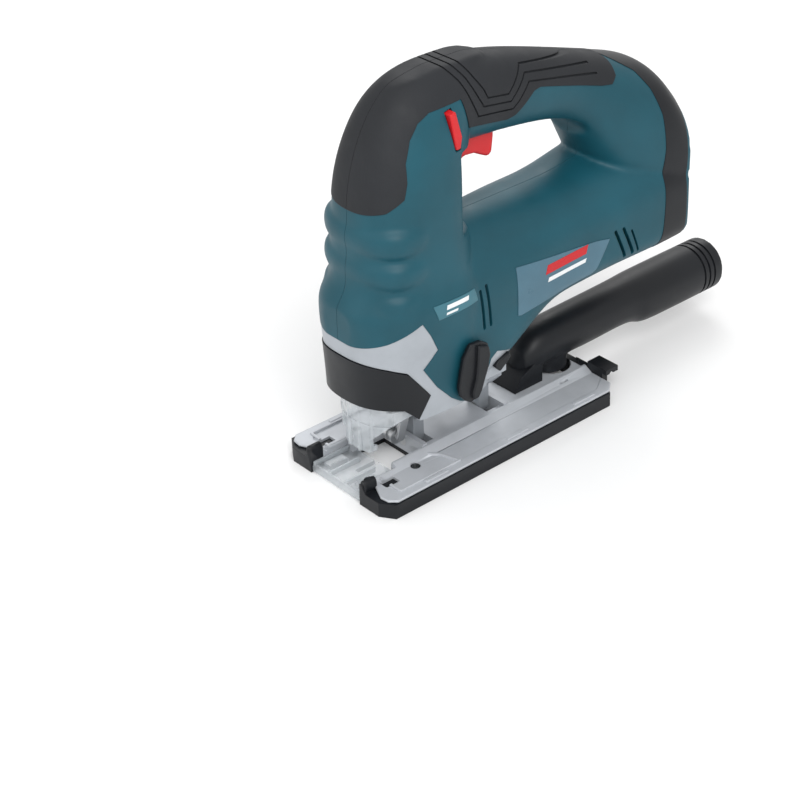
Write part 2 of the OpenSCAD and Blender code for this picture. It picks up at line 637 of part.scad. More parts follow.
module splinter_insert() color(clear) difference() {
    union() {
        slab(sole_x0 + 1, -6.2, -front_gap_hw, front_gap_hw, 0.6, 3.6);
        slab(-6.2, -3, -blade_gap_hw, blade_gap_hw, 0.6, 3.6);
        for (side = [-1, 1]) slab(sole_x0 + 5, -14, side * 12 - 2.5, side * 12 + 2.5, 3.6, 6);
    }
    slab(-16, 0, -1.4, 1.4, 0, far);
}
module rear_cap() color(black) difference() {
    union() {
        slab(sole_x1, sole_x1 + 4, -sole_hw + 12, sole_hw - 12, 0, 12);
        for (side = [-1, 1]) slab(sole_x1, sole_x1 + 9, side * 25 - 7, side * 25 + 7, 12, 15);
    }
    translate([sole_x1 + 4, 0, 12]) rotate([0, 45, 0]) cube([2, far, 2], center = true);
    translate([spout_x, 0, 10]) cylinder(h = far, r = neck_foot_r);
}
module tilt_pins() color(steel) {
    rod_x(ear_x0, carrier_x0 + 7, tilt_pin_r, 0, bevel_z);
    rod_x(carrier_x1 - 7, rear_ear_x0 + ear_t, tilt_pin_r, 0, bevel_z);
}
module base_carrier() color(silver) difference() {
    union() {
        rotate([90, 0, 90]) translate([0, 0, carrier_x0]) linear_extrude(carrier_l) difference() {
            polygon([[-6.6, 22.2], [6.6, 22.2], [14.4, 30.2], [14.4, rail_z - 0.3], [-14.4, rail_z - 0.3],
                [-14.4, 30.2]]);
            polygon([[-11.9, rail_z - 6.8], [11.9, rail_z - 6.8], [11.9, rail_z - 3.2], [8.9, rail_z - 3.2],
                [8.9, rail_z + 1], [-8.9, rail_z + 1], [-8.9, rail_z - 3.2], [-11.9, rail_z - 3.2]]);
        }
        for (x = [carrier_x0, carrier_x1 - 7]) slab(x, x + 7, -lug_r, lug_r, bevel_z, 24);
        for (x = [carrier_x0, carrier_x1 - 7]) rod_x(x, x + 7, lug_r, 0, bevel_z);
    }
    rod_x(0, far, tilt_pin_r + run_gap, 0, bevel_z);
    translate([clamp_x, 0, 0]) cylinder(h = far, r = 3);
}
clamp_x = 44;
module clamp_screw() color(steel) difference() {
    union() {
        translate([clamp_x, 0, 18.2]) cylinder(h = 4, r = 4.6);
        translate([clamp_x, 0, 18.2]) cylinder(h = rail_z - 7 - 18.2, r = 3);
    }
    translate([clamp_x, 0, 17]) cylinder(h = 4, r = 2.5, $fn = 6);
}

// ---- dust spout ----

spout_x = 120;
spout_r = spout_bore_r + spout_wall;
spout_z = 25;
neck_r = 13;
neck_foot_r = 15;
elbow_r = 14.2;
neck_z = 27.5;
step_x = 188;
module dust_spout() color(black) difference() {
    union() {
        translate([spout_x, 0, 10.3]) cylinder(h = 5, r = neck_foot_r);
        translate([spout_x, 0, 10]) cylinder(h = neck_z - 10, r = elbow_r);
        translate([spout_x, 0, neck_z]) sphere(elbow_r);
        rod_x(spout_x, step_x, neck_r, 0, neck_z);
        rod_x(step_x - 8, spout_end_x, spout_r, 0, spout_z);
    }
    translate([spout_x, 0, 0]) cylinder(h = neck_z, r = neck_r - spout_wall);
    translate([spout_x, 0, neck_z]) sphere(neck_r - spout_wall);
    rod_x(spout_x, step_x + 4, neck_r - spout_wall, 0, neck_z);
    rod_x(step_x + 2, far, spout_bore_r, 0, spout_z);
    for (x = [spout_end_x - 15 : 4 : spout_end_x - 7]) tube_x(x, x + 1.4, spout_r + 2, spout_r - 0.7, 0, spout_z);
}
module suction_duct() color(black) difference() {
    side_cut(-10, 10) polygon([[84, 10.3], [88, 18], [100, 24], [104, 24], [104, 10.3]]);
    side_cut(-8, 8) polygon([[88, 10], [91, 17], [100, 21.5], [105, 21.5], [105, 10]]);
}
module housing_screws() color(steel) difference() {
    screw_shapes(0);
    for (s = screws) translate([s[0], s[2] + 2.4, s[1]]) cube([1.2, 2, 4], center = true);
}

housing_left();
housing_right();
grip_left();
grip_right();
label_left();
label_right();
badge_left();
badge_right();
battery_dock();
dock_rim();
terminal_block();
terminals();
control_board();
switch_module();
stator_core();
stator_coils();
front_bearing();
rear_bearing();
gearcase();
lower_bush();
upper_bush();
gear_axle();
band_pins();
rocker_pin();
work_light();
housing_screws();
rotor_shaft();
rotor_core();
fan();
pinion();
crank_gear();
crank_pin();
counterweight();
plunger_rod();
yoke();
blade_clamp();
rocker_fork();
roller_pin();
guide_roller();
orbit_lever();
orbit_shaft();
release_band();
chip_guard();
trigger();
lock_bar();
speed_dial();
blower_switch();
base_carrier();
clamp_screw();
base_plate();
sole_shoe();
splinter_insert();
rear_cap();
tilt_pins();
dust_spout();
suction_duct();
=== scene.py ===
# %% [markdown]
# # A cordless jigsaw with a closed handle
# The engineering model gives every moving part its size and place. This lesson gives the tool its looks: the
# flowing two-part housing with its rubber grip, the painted gear head, the clear chip guard, the pressed steel
# sole and the dust spout. Lengths are in millimetres in the helpers and become metres when a mesh is made.

# %% Load the engineering model
import bpy
import json
from math import cos, pi, radians, sin, sqrt
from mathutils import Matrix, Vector


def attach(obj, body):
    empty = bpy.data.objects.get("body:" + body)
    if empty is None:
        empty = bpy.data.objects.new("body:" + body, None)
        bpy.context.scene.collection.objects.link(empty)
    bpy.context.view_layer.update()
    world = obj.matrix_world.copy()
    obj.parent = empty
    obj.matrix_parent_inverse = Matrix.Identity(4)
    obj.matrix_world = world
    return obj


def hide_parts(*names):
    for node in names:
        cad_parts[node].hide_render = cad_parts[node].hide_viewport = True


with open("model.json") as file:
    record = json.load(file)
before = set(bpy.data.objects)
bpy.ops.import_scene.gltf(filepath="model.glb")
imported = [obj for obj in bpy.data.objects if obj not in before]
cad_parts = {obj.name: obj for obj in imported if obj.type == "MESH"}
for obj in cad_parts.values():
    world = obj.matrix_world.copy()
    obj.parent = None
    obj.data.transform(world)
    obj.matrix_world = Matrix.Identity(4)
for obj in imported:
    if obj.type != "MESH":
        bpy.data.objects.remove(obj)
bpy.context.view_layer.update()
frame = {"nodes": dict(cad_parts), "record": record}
scene = bpy.context.scene

# %% [markdown]
# ## Camera
# A long lens from the front left, a little above the tool, keeps the edges nearly parallel. It could be placed
# by hand, but three numbers and a point to look at are easier to change. The lens shift moves the tool within
# the picture without turning the view.

# %% Camera
look_at = Vector((0.089768, 0, 0.072834))
turn, rise, distance = radians(-43.5), radians(28.9), 1.032153
backwards = Vector((sin(turn) * cos(rise), -cos(turn) * cos(rise), sin(rise)))
bpy.ops.object.camera_add(location=look_at + backwards * distance,
                          rotation=backwards.to_track_quat("Z", "Y").to_euler())
camera = bpy.context.object
camera.data.lens, camera.data.sensor_width = 90, 36
camera.data.shift_x, camera.data.shift_y = -0.1375, -0.15
camera.data.clip_start = 0.01
scene.camera = camera
print("camera at", camera.location)

# %% [markdown]
# ## Floor and light
# Plastic and paint show their shape through broad, soft reflections. A pale floor and a pale sky fill the
# shadows, a large lamp over the front left side shapes the housing, a faint one softens the front, and one
# behind lifts the edges.

# %% Floor and light
bpy.ops.object.select_all(action="DESELECT")
bpy.ops.mesh.primitive_plane_add(size=6, location=(0, 0, -0.0002))
floor = bpy.context.object
floor.name = "floor"

world = bpy.data.worlds.new("studio")
world.use_nodes = True
world.node_tree.nodes["Background"].inputs["Color"].default_value = (1, 1, 1, 1)
world.node_tree.nodes["Background"].inputs["Strength"].default_value = 0.85
scene.world = world


LIT_POINT = Vector((0.08, 0, 0.1))


def lamp(name, place, size, power):
    facing = (Vector(place) - LIT_POINT).to_track_quat("Z", "Y").to_euler()
    bpy.ops.object.light_add(type="AREA", location=place, rotation=facing)
    light = bpy.context.object
    light.name, light.data.size, light.data.energy = name, size, power


lamp("key", (-0.5, -1.0, 1.25), 0.9, 16)
lamp("fill", (-1.5, 0.3, 0.8), 1.2, 4)
lamp("rim", (1.1, 1.0, 1.2), 0.8, 7)
scene.view_settings.view_transform = "Standard"
print("three lamps")

# %% [markdown]
# ## Finishes
# A finish is a small network of nodes. To read like arithmetic, a socket is wrapped in a class whose operators
# add Math nodes, and every other node comes from one method. All patterns use Object coordinates, in metres,
# so a grain of half a millimetre stays half a millimetre on every piece.

# %% Shader arithmetic
class Value:
    """A number that varies over a surface."""

    def __init__(self, finish, socket):
        self.finish, self.socket = finish, socket

    def sum(self, operation, *terms):
        made = self.finish.node("ShaderNodeMath", {"operation": operation}, *terms)
        return Value(self.finish, made.outputs[0])

    def __add__(self, other): return self.sum("ADD", self, other)
    def __radd__(self, other): return self.sum("ADD", other, self)
    def __sub__(self, other): return self.sum("SUBTRACT", self, other)
    def __rsub__(self, other): return self.sum("SUBTRACT", other, self)
    def __mul__(self, other): return self.sum("MULTIPLY", self, other)
    def __rmul__(self, other): return self.sum("MULTIPLY", other, self)


class Finish:
    """One material. node() adds any node: its settings first, then its inputs in order or by name."""

    def __init__(self, name):
        self.material = bpy.data.materials.new(name)
        self.material.use_nodes = True
        self.tree = self.material.node_tree
        self.shader = self.tree.nodes["Principled BSDF"]
        self.place = self.node("ShaderNodeTexCoord").outputs["Object"]

    def node(self, kind, settings=None, *inputs, **named):
        made = self.tree.nodes.new(kind)
        for key, value in (settings or {}).items():
            setattr(made, key, value)
        for index, value in enumerate(inputs):
            self.feed(made.inputs[index], value)
        for key, value in named.items():
            self.feed(made.inputs[key.replace("_", " ")], value)
        return made

    def feed(self, socket, value):
        if isinstance(value, Value):
            self.tree.links.new(value.socket, socket)
        elif isinstance(value, bpy.types.NodeSocket):
            self.tree.links.new(value, socket)
        else:
            socket.default_value = value

    def noise(self, scale, detail=3, stretch=None):
        place = self.place
        if stretch:
            place = self.node("ShaderNodeMapping", None, Vector=place, Scale=stretch).outputs[0]
        made = self.node("ShaderNodeTexNoise", None, Vector=place, Scale=scale, Detail=detail)
        return Value(self, made.outputs[0])

    def ramp(self, value, low, high):
        """0 below low, 1 above high and a soft step between them."""
        mapped = self.node("ShaderNodeMapRange", {"interpolation_type": "SMOOTHSTEP"}, Value=value)
        mapped.inputs["From Min"].default_value, mapped.inputs["From Max"].default_value = low, high
        return Value(self, mapped.outputs[0])

    def blend(self, amount, first, second):
        mix = self.node("ShaderNodeMix", {"data_type": "RGBA"})
        self.feed(mix.inputs["Factor"], amount)
        self.feed(mix.inputs[6], first)
        self.feed(mix.inputs[7], second)
        return mix.outputs[2]

    def bump(self, height, distance, rounding=0.0):
        bump = self.node("ShaderNodeBump", None, Height=height, Strength=1.0, Distance=distance)
        if rounding:
            soft = self.node("ShaderNodeBevel", {"samples": 4}, Radius=rounding)
            self.feed(bump.inputs["Normal"], soft.outputs[0])
        self.feed(self.shader.inputs["Normal"], bump.outputs[0])


print("shader helpers ready")


# %% [markdown]
# ## Moulded plastic and rubber
# A moulding has a fine spark-eroded grain, a slow drift of tone where the melt ran, and a few places that
# handling has polished. Grain is bump, drift is colour, polish is roughness. The rounding softens sharp edges
# to the small radius that every mould leaves.

# %% Plastic
MOULD_RADIUS, CAST_RADIUS = 0.0004, 0.0003
PLASTIC_IOR, PLASTIC_SPECULAR = 1.48, 0.34


def shade(colour, factor):
    return (*[channel * factor for channel in colour], 1)


def plastic(name, colour, roughness=0.45, grain=0.00002, scale=2200, drift=0.12):
    finish = Finish(name)
    clouds, fine = finish.noise(28, 4), finish.noise(scale, 2)
    polish = finish.ramp(finish.noise(60, 5), 0.45, 0.75)
    finish.feed(finish.shader.inputs["Base Color"],
                finish.blend(finish.ramp(clouds, 0.3, 0.7), shade(colour, 1 - drift), shade(colour, 1 + drift)))
    finish.feed(finish.shader.inputs["Roughness"], roughness - polish * 0.08 + fine * 0.06)
    finish.bump(fine + clouds * 0.3, grain, MOULD_RADIUS)
    finish.shader.inputs["IOR"].default_value = PLASTIC_IOR
    finish.shader.inputs["Specular IOR Level"].default_value = PLASTIC_SPECULAR
    return finish.material


TEAL, RUBBER, BLACK = (0.0050, 0.0640, 0.0900), (0.0130, 0.0145, 0.0175), (0.0050, 0.0062, 0.0085)
RED, PANEL, PLATE = (0.5200, 0.0120, 0.0160), (0.0640, 0.1450, 0.1980), (0.0420, 0.1450, 0.1850)
teal = plastic("teal_shell", TEAL)
rubber = plastic("grip_rubber", RUBBER, roughness=0.62, grain=0.00005, scale=1500)
black = plastic("black_moulding", BLACK, roughness=0.42)
red = plastic("red_switch", RED, roughness=0.36, grain=0.00001)
panel = plastic("name_panel", PANEL, roughness=0.3, grain=0.000004)
plate = plastic("small_plate", PLATE, roughness=0.3, grain=0.000004)
white = plastic("white_print", (0.72, 0.74, 0.75), roughness=0.4, grain=0.000002, drift=0.03)
print("plastics:", teal.name, rubber.name, black.name, red.name)


# %% [markdown]
# ## Paint, steel and clear plastic
# The gear head is cast metal under silver paint: slightly orange-peeled and barely metallic. The sole is bare
# pressed steel with faint rolling lines along its length. Bright parts, such as the plunger, are ground, with
# finer lines. Clear plastic is mostly its own reflections, so it is nearly transparent with a smooth surface.

# %% Metal
def metal(name, colour, roughness, metallic=1.0, lines=0.0, peel=0.0):
    finish = Finish(name)
    streaks = finish.noise(900, 3, (0.04, 1, 1)) if lines else finish.noise(260, 2)
    smudge = finish.ramp(finish.noise(45, 5), 0.4, 0.8)
    finish.feed(finish.shader.inputs["Base Color"],
                finish.blend(smudge, shade(colour, 1.06), shade(colour, 0.9)))
    finish.feed(finish.shader.inputs["Roughness"], roughness + smudge * 0.075 + streaks * 0.08)
    finish.shader.inputs["Metallic"].default_value = metallic
    finish.bump(streaks, lines + peel, CAST_RADIUS)
    return finish.material


def clear(name, colour, alpha):
    finish = Finish(name)
    haze = finish.ramp(finish.noise(120, 4), 0.45, 0.8)
    finish.shader.inputs["Base Color"].default_value = (*colour, 1)
    finish.feed(finish.shader.inputs["Roughness"], 0.07 + haze * 0.05)
    finish.feed(finish.shader.inputs["Alpha"], alpha + haze * 0.03)
    finish.bump(finish.noise(90, 2), 0.000006)
    return finish.material


silver = metal("silver_paint", (0.345, 0.37, 0.40), 0.42, metallic=0.35, peel=0.00002)
sole_steel = metal("sole_plate", (0.45, 0.47, 0.5), 0.42, metallic=0.25, lines=0.000015)
steel = metal("ground_steel", (0.55, 0.56, 0.57), 0.26, lines=0.00001)
dark_steel = metal("blackened_steel", (0.09, 0.095, 0.1), 0.4, lines=0.00001)
copper = metal("copper_winding", (0.72, 0.34, 0.16), 0.34, lines=0.00002)
glassy = clear("clear_plastic", (0.56, 0.60, 0.63), 0.4)
board = plastic("circuit_board", (0.02, 0.11, 0.05), roughness=0.4)
paper = plastic("floor_paper", (0.87, 0.87, 0.87), roughness=0.9, grain=0.0, drift=0.003)
floor.data.materials.append(paper)
print("metals and clear plastic ready")

# %% [markdown]
# ## Dress the engineering parts
# Parts whose shape is already right keep it and only need a finish. The record says which material slot each
# part has, so one dictionary from slot to finish dresses all of them.

# %% Dress the parts
FINISHES = {"teal": teal, "rubber": rubber, "black": black, "red": red, "silver": silver, "steel": steel,
            "clear": glassy, "copper": copper, "label": panel, "board": board}


def dress(piece, finish):
    piece.data.materials.clear()
    piece.data.materials.append(finish)


slot_of = {part["node"]: part["material_slot"] for part in frame["record"]["subparts"]}
for name, node in frame["nodes"].items():
    dress(node, FINISHES[slot_of[name]])
print(sorted(set(slot_of.values())))

# %% [markdown]
# ## Helpers for modelling by hand
# Most shells are lofts: a rounded square is extruded from section to section and scaled at each one. Flat parts
# are outlines: one vertex is extruded along the outline, filled, and the face is pulled sideways. Boolean
# modifiers join and cut them. Each helper does what one would do with the mouse and then applies it.

# %% Selection, modifier and boolean helpers
MM = 0.001
WIDE = 60  # further from the middle plane than any flank
SIDES = ((-1, "left"), (1, "right"))


def pick(piece):
    bpy.ops.object.select_all(action="DESELECT")
    bpy.context.view_layer.objects.active = piece
    piece.select_set(True)
    return piece


def begin(name):
    """Names a new primitive, writes its size and place into its mesh and opens edit mode."""
    piece = bpy.context.object
    piece.name = name
    bpy.ops.object.transform_apply(location=True, rotation=True, scale=True)
    bpy.ops.object.mode_set(mode="EDIT")
    return piece


def choose(piece, test):
    """In edit mode, selects the vertices whose place in millimetres passes the test."""
    bpy.ops.mesh.select_all(action="DESELECT")
    bpy.ops.object.mode_set(mode="OBJECT")
    for vertex in piece.data.vertices:
        vertex.select = bool(test(vertex.co / MM))
    bpy.ops.object.mode_set(mode="EDIT")


def end(piece, angle=35):
    """Turns the faces outwards, leaves edit mode and shades; faces that meet at a larger angle stay sharp."""
    bpy.ops.mesh.select_all(action="SELECT")
    bpy.ops.mesh.normals_make_consistent(inside=False)
    bpy.ops.object.mode_set(mode="OBJECT")
    bpy.ops.object.shade_smooth_by_angle(angle=radians(angle))
    return piece


def apply(piece, kind, **settings):
    modifier = pick(piece).modifiers.new(kind.lower(), kind)
    for key, value in settings.items():
        setattr(modifier, key, value)
    bpy.ops.object.modifier_apply(modifier=modifier.name)
    return piece


def cut(piece, other, operation="DIFFERENCE", keep=False):
    apply(piece, "BOOLEAN", operation=operation, object=other, solver="MANIFOLD")
    if not keep:
        bpy.data.objects.remove(other)
    return piece


def copy(piece, name):
    twin = piece.copy()
    twin.data = piece.data.copy()
    twin.name = name
    scene.collection.objects.link(twin)
    return twin


def swell(piece, distance):
    """Moves every face outwards by a distance in millimetres."""
    pick(piece)
    bpy.ops.object.mode_set(mode="EDIT")
    bpy.ops.mesh.select_all(action="SELECT")
    bpy.ops.transform.shrink_fatten(value=distance * MM)
    bpy.ops.object.mode_set(mode="OBJECT")
    return piece


print("selection, modifier and boolean helpers ready")


# %% Outline, block, rod and loft helpers
def lay(view, across, up, depth):
    """A place in a view becomes x, y and z."""
    return {"side": (across, depth, up), "plan": (across, up, depth), "front": (depth, across, up)}[view]


def line(name, points, near, view):
    """One vertex, extruded from point to point in a view and left selected in edit mode."""
    bpy.ops.object.select_all(action="DESELECT")
    bpy.ops.mesh.primitive_plane_add(size=0.001)
    piece = begin(name)
    bpy.ops.mesh.merge(type="CENTER")
    bpy.ops.transform.translate(value=Vector(lay(view, *points[0], near)) * MM)
    for (x0, z0), (x1, z1) in zip(points, points[1:]):
        pull(view, x1 - x0, z1 - z0, 0)
    bpy.ops.mesh.select_all(action="SELECT")
    return piece


def pull(view, *step):
    """Extrudes the selection by a step in a view."""
    bpy.ops.mesh.extrude_region_move(TRANSFORM_OT_translate={"value": Vector(lay(view, *step)) * MM})


def outline(name, points, near, far, view="side"):
    """A plate whose outline lies in a view, pulled through the tool from near to far."""
    piece = line(name, points, near, view)
    bpy.ops.mesh.edge_face_add()
    pull(view, 0, 0, far - near)
    return end(piece)


def through(name, points):
    """A plate with this side view, pulled right through the tool."""
    return outline(name, points, -WIDE, WIDE)


def flank(name, points, side, near):
    """The same on one side of the tool only, from near outwards."""
    return outline(name, points, *sorted((side * WIDE, side * near)))


def block(name, low, high):
    bpy.ops.object.select_all(action="DESELECT")
    low, high = Vector(low), Vector(high)
    bpy.ops.mesh.primitive_cube_add(size=1, location=(low + high) / 2 * MM, scale=(high - low) * MM)
    return end(begin(name))


def side_block(name, side, low, high):
    """A block on one side of the tool; its second measures run outwards from the middle plane."""
    near, far = sorted((side * low[1], side * high[1]))
    return block(name, (low[0], near, low[2]), (high[0], far, high[2]))


def rod(name, start, finish, radius, sides=48):
    bpy.ops.object.select_all(action="DESELECT")
    start, finish = Vector(start), Vector(finish)
    bpy.ops.mesh.primitive_cylinder_add(vertices=sides, radius=radius * MM, depth=(finish - start).length * MM,
                                        location=(start + finish) / 2 * MM,
                                        rotation=(finish - start).to_track_quat("Z", "Y").to_euler())
    return end(begin(name))


def loft(name, along, upper, lower, sections, rounds=5, smooth=2):
    """Sections are (place, low, high, half width); upper and lower say how round those corners are."""
    bpy.ops.object.select_all(action="DESELECT")
    bpy.ops.mesh.primitive_plane_add(size=2, rotation=(0, pi / 2 if along == "x" else 0, 0))
    piece = begin(name)
    height = 2 if along == "x" else 0
    for side, share in ((1, upper), (-1, lower)):
        choose(piece, lambda place: place[height] * side > 999)
        bpy.ops.mesh.bevel(offset=0.98 * share, segments=rounds, affect="VERTICES")
    bpy.ops.mesh.select_all(action="SELECT")
    before = (0, -1, 1, 1)  # the plane that was added
    for number, section in enumerate(sections):
        if number:
            bpy.ops.mesh.extrude_region_move(TRANSFORM_OT_translate={"value": (0, 0, 0)})
        centre = [0, 0, 0]
        centre[height], centre[2 - height] = (before[1] + before[2]) / 2 * (MM if number else 1), before[0] * MM
        size = [1, section[3] / before[3], 1]
        size[height] = (section[2] - section[1]) / (before[2] - before[1])
        if not number:
            size[height], size[1] = size[height] * MM, size[1] * MM
        bpy.ops.transform.resize(value=size, center_override=centre)
        step = [0, 0, 0]
        step[height] = (section[1] + section[2] - (before[1] + before[2] if number else 0)) / 2 * MM
        step[2 - height] = (section[0] - before[0]) * MM
        bpy.ops.transform.translate(value=step)
        before = section
    ends = (sections[0][0], sections[-1][0])
    choose(piece, lambda place: min(abs(place[2 - height] - at) for at in ends) < 0.01)
    bpy.ops.transform.edge_crease(value=1)
    end(piece, 60)
    return apply(piece, "SUBSURF", levels=smooth, render_levels=smooth)


print("outline, block, rod and loft helpers ready")

# %% [markdown]
# ## The housing's flowing shape
# The closed handle could be one cage of quads, but three lofts are easier to steer: an upright column at the
# front, the motor barrel along the bottom and the handle over the top, which swings down to the battery dock.
# They are joined, trimmed by the side view and remeshed with small voxels; smoothing then melts the joints into
# the soft fillets of a moulded tool. Low swellings around the column become its finger waves.

# %% Column, barrel and handle
CROWN_X, CROWN_Z, CROWN_ROUND, FALL = 45, 210, 25, 0.33  # the handle's highest point, its roundness and slope


def handle_top(x):
    return CROWN_Z - FALL * (sqrt((x - CROWN_X) ** 2 + CROWN_ROUND ** 2) - CROWN_ROUND)


body = loft("body", "z", 0.75, 0.85, [
    (34, -22.5, 62, 32), (58, -23, 61, 32), (80, -24.6, 59, 32.8), (95, -25.4, 58, 33.2),
    (101, -24.4, 56, 32.4), (107, -19.4, 51, 30), (113, -17.2, 49, 29.2), (132, -16.4, 48, 28.4),
    (150, -15.4, 48, 27.5), (165, -13.4, 50, 26), (180, -8.5, 53, 23.5), (194, -1, 58, 20.5),
    (204, 9, 64, 15), (209, 18, 70, 9)])
barrel = loft("barrel", "x", 0.98, 0.42, [
    (30, 36, 126, 31.5), (45, 40, 126, 32), (60, 46, 126, 32), (78, 60, 126, 32), (93, 69.5, 126, 32),
    (110, 70.5, 126, 32), (124, 71.5, 127, 32.5), (140, 72.5, 130, 33.5), (158, 73, 133, 35),
    (172, 73.5, 135, 35.8), (187, 74.5, 136, 36)])
handle = loft("handle", "x", 0.9, 0.9, [
    (14, 166, handle_top(14) - 1, 20), (28, 166, handle_top(28), 20), (50, 165, handle_top(50), 18.5),
    (80, 163, handle_top(80), 17.5), (104, 160, handle_top(104), 17), (118, 156, handle_top(118), 17.5),
    (128, 148, handle_top(128), 19), (137, 132, handle_top(137), 22.5), (148, 112, handle_top(148), 27),
    (160, 100, handle_top(160), 31), (172, 92, 175, 34), (180, 88, 169, 35), (187, 86, 158, 35.5)])
for number, height in enumerate((136, 119.5, 103)):
    shoulder = (-16.6 - number * 0.5, 22, 28.4 + number * 0.5)  # each wave is a little fuller than the one above
    crest = (-17.6 - number * 0.6, 24, 29.2 + number * 0.6)
    wave = loft(f"wave_{number}", "z", 0.8, 0.85, [
        (height - 7.6, -14, 20, 25), (height - 5.5, *shoulder), (height, *crest), (height + 5.5, *shoulder),
        (height + 7.6, -14, 20, 25)])
    cut(body, wave, "UNION")
cut(body, barrel, "UNION")
cut(body, handle, "UNION")
print("lofts joined:", len(body.data.polygons), "faces")

# %% Trim to the side view, remesh and smooth
def arc(cx, cz, rx, rz, start, stop, steps=10):
    angles = [radians(start + (stop - start) * step / steps) for step in range(steps + 1)]
    return [(cx + rx * cos(angle), cz + rz * sin(angle)) for angle in angles]


side_view = ([(-24, 30), (-24, 150)] + arc(22, 150, 38, 57, 180, 96)
             + [(x, handle_top(x)) for x in range(30, 170, 10)]
             + arc(170, 168, 17, handle_top(170) - 168, 80, 0)
             + [(187, 79), (183, 74), (150, 70), (93, 68), (60, 30)])
hand_hole = ([(35, 127.5), (112, 127.5)] + arc(115, 142, 14, 14.5, -80, 0)
             + [(131, 149), (127, 154.5), (118, 158.5), (104, 161.5), (74, 166), (37, 169.5)])
cut(body, through("side_view", side_view), "INTERSECT")
cut(body, through("hand_hole", hand_hole))
apply(body, "REMESH", mode="VOXEL", voxel_size=1.0 * MM)
apply(body, "SMOOTH", factor=0.5, iterations=18)
print("body skin:", len(body.data.polygons), "faces")

# %% [markdown]
# ## Hollow the shell and cut its lower edge
# A real housing is two thin halves, so the skin is copied, thinned out, drawn inwards by one wall and
# subtracted. The lower front edge is crisp, because the metal gear head shows below it: it zigzags from the
# nose over the painted shoulder down to the lever, and rises behind the tongue to the barrel's underside.

# %% Wall and lower edge
WALL = 2.6
hollow = copy(body, "hollow")
apply(hollow, "DECIMATE", ratio=0.12)
swell(hollow, -WALL)
solid = copy(body, "solid")
cut(body, hollow)
below_view = ([(-40, 20), (-40, 82), (-24, 83.4), (-14, 86.8), (-6, 90.4), (2.5, 94.5), (7.5, 86), (11.5, 77),
               (3, 68.5), (11, 56), (20, 46), (26, 41.5), (33, 39), (40, 41.5), (45, 50), (47, 57), (51, 60),
               (62, 56), (64, 50), (64.5, 41), (66.5, 41)]
              + arc(93, 41, 26.5, 28, 176, 96, 9) + [(110, 68), (200, 68), (200, 20)])
cut(body, through("below", below_view))
print("shell:", len(body.data.polygons), "faces")

# %% [markdown]
# ## Vents, dial slot and switch openings
# Cooling air enters through slanted slots beside the name panel and leaves through two at the front. A block is
# added for each, leaned in edit mode, and subtracted; the trigger, the lock bar and the dial get their openings.

# %% Vents and openings
FLANK_Y, VENT_DEPTH = 34, 8
VENTS = ((42, 86.5, -3, 1.7, 22), (46.2, 87.5, -3, 1.7, 23),  # place, lean in degrees, width and height
         (137, 89.2, -24, 1.9, 20), (142.6, 89.3, -24, 1.9, 20), (147.3, 88, -22, 1.3, 16))


def slot(x, z, lean, width, height, side):
    centre, reach = Vector((x, side * FLANK_Y, z)), Vector((width / 2, VENT_DEPTH, height / 2))
    bar = block("vent", centre - reach, centre + reach)
    bpy.ops.object.mode_set(mode="EDIT")
    bpy.ops.mesh.select_all(action="SELECT")
    bpy.ops.mesh.bevel(offset=width * 0.4 * MM, segments=2, affect="EDGES")
    bpy.ops.transform.rotate(value=radians(-lean), orient_axis="Y", center_override=centre * MM)
    bpy.ops.object.mode_set(mode="OBJECT")
    return bar


def dial_way():
    """Room for the speed dial, which turns in the handle's rear end."""
    return rod("dial_way", (177.5, -4.2, 161), (177.5, 4.2, 161), 8.2)


for side in (-1, 1):
    for vent in VENTS:
        cut(body, slot(*vent, side))
cut(body, block("trigger_way", (47.4, -9.6, 150), (70.2, 9.6, 176)))
lock_view = [(28.4, 192.6), (33, 193.6), (37.2, 179.6), (36.2, 172.4), (32, 172.4), (29.8, 184)]
cut(body, through("lock_way", lock_view))
cut(body, dial_way())
cut(body, block("blower_way", (48, -WIDE, 45.5), (61, -24, 56.8)))
print("openings cut")

# %% [markdown]
# ## Rubber grip
# The grip is moulded over the shell and stands a hair proud of it. It could be a texture, but its edge catches
# the light, so it is its own skin: the swollen body is intersected with the grip's side view. Grooves are thin
# ribbons pulled across the body and subtracted down to a core a third of a millimetre under the shell's surface.

# %% Grip skin
grip_view = ([(-60, 148), (-19, 149.5), (-8, 152.5), (0, 158.5), (2.3, 166), (3.2, 175), (7.4, 185), (13, 191.5),
              (20, 194.8), (40, 195.6)]
             + [(42.2, 188), (44.6, 179.6), (48, 178.4), (72.5, 174.2), (77.5, 175.2), (82, 178.6), (89.5, 184.6),
                (94, 185.2), (134, 174.6), (141, 173.6), (145.5, 176.4), (147.5, 181.5), (148, 240), (-60, 240)])
GRIP_PROUD, GROOVE_FLOOR, GROOVE_WIDTH, RUBBER_WALL = 0.45, 0.35, 0.9, 2.4
skin = swell(copy(solid, "grip_skin"), GRIP_PROUD)
core = swell(copy(solid, "grip_core"), -GROOVE_FLOOR)
grip = cut(copy(skin, "grip"), through("grip_view", grip_view), "INTERSECT")


def ribbon(name, points):
    """A thin wall along a line in the side view."""
    piece = line(name, points, -WIDE, "side")
    pull("side", 0, 0, 2 * WIDE)
    end(piece)
    return apply(piece, "SOLIDIFY", thickness=GROOVE_WIDTH * MM, offset=0)


